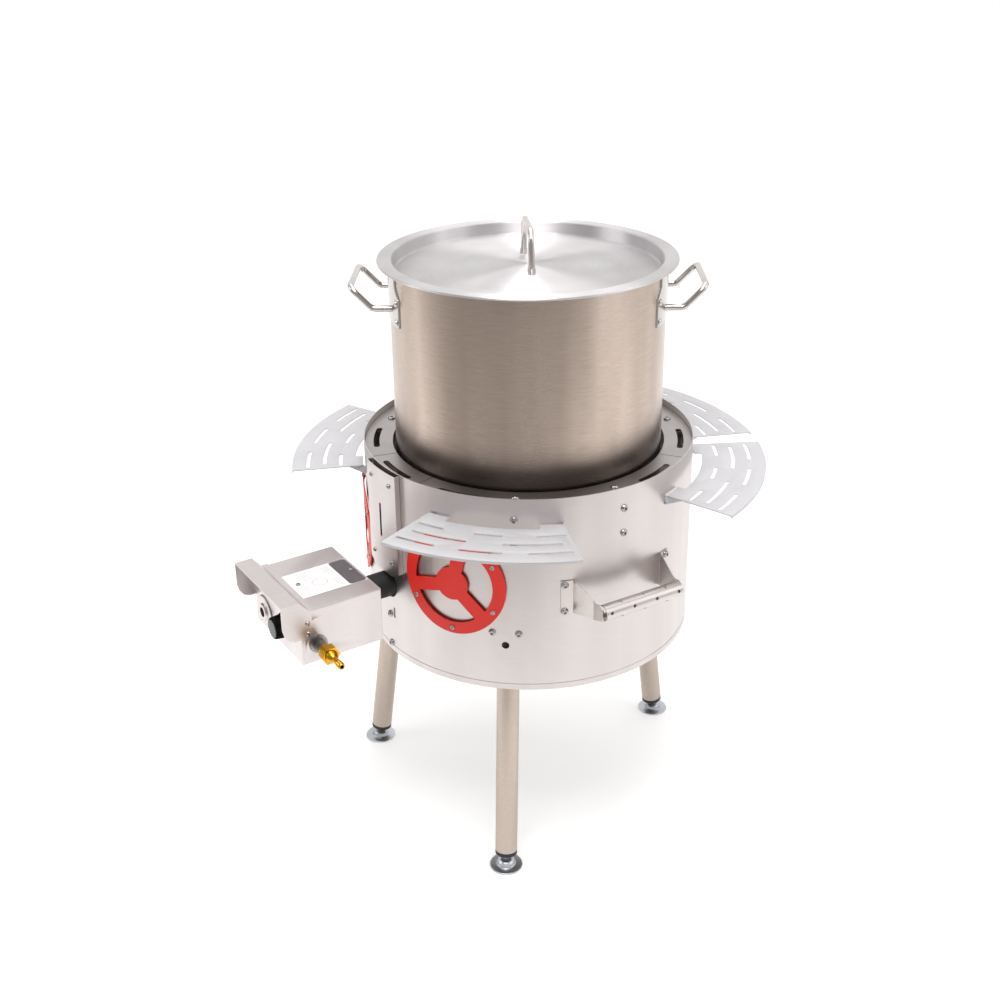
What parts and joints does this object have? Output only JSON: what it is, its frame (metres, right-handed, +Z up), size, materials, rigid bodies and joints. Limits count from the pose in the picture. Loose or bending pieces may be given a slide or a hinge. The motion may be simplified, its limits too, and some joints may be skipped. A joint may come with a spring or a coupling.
{
  "type": "stock pot on gas burner stand",
  "caption": "Tall lidded metal stock pot standing in a round gas burner stand on splayed legs, with a hooded control box, side shelves and carry handles.",
  "frame": {"origin": "on the floor, straight below the axis of the pot and the burner drum", "axes": "+Z up, along the axis of pot and drum; -Y towards the burner box with its knob; +X towards the gas hose tail"},
  "size_m": [0.682, 0.811, 0.9231],
  "materials": {
    "pot_steel": "satin, slightly warm",
    "lid_steel": "spun satin",
    "rod_steel": "polished rod",
    "drum_steel": "satin sheet",
    "leg_steel": "satin tube",
    "shelf_steel": "fine matt",
    "zinc": "bright zinc plate",
    "red_coat": "smooth powder coat",
    "black_coat": "black heat-proof paint",
    "cast_iron": "as cast",
    "black_plastic": "moulded, matt",
    "grey_plastic": "moulded, matt",
    "brass": "machined",
    "label": "printed white plate"
  },
  "bodies": {
    "stand": {"drum_shell": "drum_steel", "ring_plate_1": "drum_steel", "ring_plate_2": "drum_steel", "ring_plate_3": "drum_steel", "ring_hatch": "drum_steel", "ring_bolts": "zinc", "pot_rest_1": "drum_steel", "pot_rest_2": "drum_steel", "pot_rest_3": "drum_steel", "pot_rest_4": "drum_steel", "pot_rest_5": "drum_steel", "pot_rest_6": "drum_steel", "drum_screws": "zinc", "leg_tube_1": "leg_steel", "leg_cap_1": "black_plastic", "leg_socket_1": "drum_steel", "leg_tube_2": "leg_steel", "leg_cap_2": "black_plastic", "leg_socket_2": "drum_steel", "leg_tube_3": "leg_steel", "leg_cap_3": "black_plastic", "leg_socket_3": "drum_steel", "round_guard_1": "red_coat", "round_guard_2": "red_coat", "port_cover": "drum_steel", "carry_bracket_1a": "drum_steel", "carry_bracket_1b": "drum_steel", "carry_grip_1": "drum_steel", "carry_bracket_2a": "drum_steel", "carry_bracket_2b": "drum_steel", "carry_grip_2": "drum_steel", "burner_box": "drum_steel", "box_cover": "drum_steel", "knob_hood": "drum_steel", "label_plate": "label", "panel_screws": "zinc", "gas_valve": "brass", "air_inlet": "zinc", "burner_tube": "black_coat", "burner_head": "cast_iron", "burner_holder": "drum_steel", "gas_adapter": "zinc", "hose_barb": "brass"},
    "pot": {"pot_body": "pot_steel", "pot_handle_1": "rod_steel", "pot_handle_2": "rod_steel", "pot_rivets": "zinc"},
    "lid": {"lid": "lid_steel", "lid_handle": "rod_steel"},
    "valve_spindle": {"valve_spindle": "brass"},
    "control_knob": {"control_knob": "black_plastic", "knob_cap": "grey_plastic"},
    "shelf_1": {"shelf_1": "shelf_steel"},
    "shelf_2": {"shelf_2": "shelf_steel"},
    "shelf_3": {"shelf_3": "shelf_steel"},
    "shelf_4": {"shelf_4": "shelf_steel"},
    "shelf_5": {"shelf_5": "shelf_steel"},
    "foot_1": {"foot_1": "zinc"},
    "foot_2": {"foot_2": "zinc"},
    "foot_3": {"foot_3": "zinc"}
  },
  "joints": [
    {"name": "pot_lift", "type": "slide", "parent": "stand", "child": "pot", "axis": [0, 0, 1], "range_m": [0, 0.16]},
    {"name": "lid_lift", "type": "slide", "parent": "pot", "child": "lid", "axis": [0, 0, 1], "range_m": [0, 0.12]},
    {"name": "knob_turn", "type": "hinge", "parent": "stand", "child": "valve_spindle", "pos_m": [0.037, -0.43, 0.423], "axis": [0, -1, 0], "range_deg": [0, 210]},
    {"name": "knob_push", "type": "slide", "parent": "valve_spindle", "child": "control_knob", "axis": [0, 1, 0], "range_m": [0, 0.003], "stiffness_N_per_m": 800, "springref_m": -0.002},
    {"name": "shelf_1_tilt", "type": "hinge", "parent": "stand", "child": "shelf_1", "pos_m": [0.16278, -0.16278, 0.5637], "axis": [-0.7071, -0.7071, 0], "range_deg": [0, 18]},
    {"name": "shelf_2_tilt", "type": "hinge", "parent": "stand", "child": "shelf_2", "pos_m": [0.17763, 0.14642, 0.5637], "axis": [0.6361, -0.7716, 0], "range_deg": [0, 18]},
    {"name": "shelf_3_tilt", "type": "hinge", "parent": "stand", "child": "shelf_3", "pos_m": [0, 0.2302, 0.5637], "axis": [1, 0, 0], "range_deg": [0, 10]},
    {"name": "shelf_4_tilt", "type": "hinge", "parent": "stand", "child": "shelf_4", "pos_m": [-0.17763, 0.14642, 0.5637], "axis": [0.6361, 0.7716, 0], "range_deg": [0, 18]},
    {"name": "shelf_5_tilt", "type": "hinge", "parent": "stand", "child": "shelf_5", "pos_m": [-0.16278, -0.16278, 0.5637], "axis": [-0.7071, 0.7071, 0], "range_deg": [0, 18]},
    {"name": "foot_1_level", "type": "slide", "parent": "stand", "child": "foot_1", "axis": [0.0976, -0.0867, -0.9914], "range_m": [0, 0.012]},
    {"name": "foot_2_level", "type": "slide", "parent": "stand", "child": "foot_2", "axis": [-0.0976, -0.0867, -0.9914], "range_m": [0, 0.012]},
    {"name": "foot_3_level", "type": "slide", "parent": "stand", "child": "foot_3", "axis": [0, 0.1305, -0.9914], "range_m": [0, 0.012]}
  ]
}
